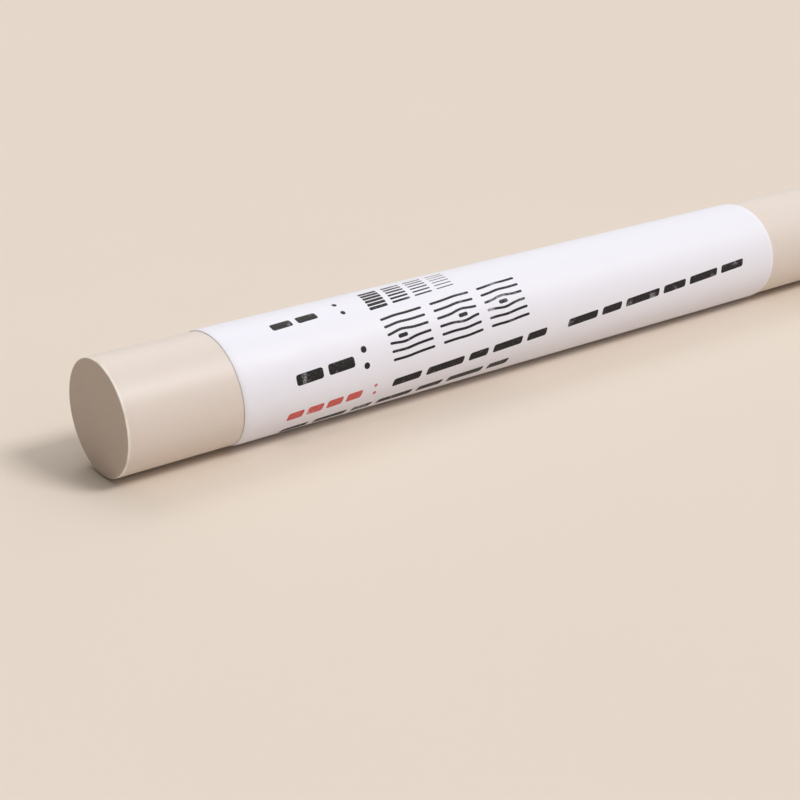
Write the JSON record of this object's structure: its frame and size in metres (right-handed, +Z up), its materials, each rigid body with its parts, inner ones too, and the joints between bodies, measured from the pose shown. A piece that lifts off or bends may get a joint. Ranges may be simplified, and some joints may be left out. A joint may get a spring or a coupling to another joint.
{
  "type": "furniture repair wax stick",
  "caption": "Round stick of filler wax for furniture repair, bare at both ends, with a white paper label wrapped round its middle and lapped at the back.",
  "frame": {"origin": "on the surface that the stick lies on, below the middle of its length", "axes": "+X along the stick, from the near bare end to the far bare end; +Z up; +Y towards the label's lap"},
  "size_m": [0.1, 0.0113, 0.0112],
  "materials": {
    "wax": "satin",
    "adhesive": "satin",
    "label_paper": "matte",
    "black_ink": "satin",
    "red_ink": "satin"
  },
  "bodies": {
    "root": {"wax_stick": "wax", "label_adhesive": "adhesive", "paper_label": "label_paper"}
  },
  "joints": []
}
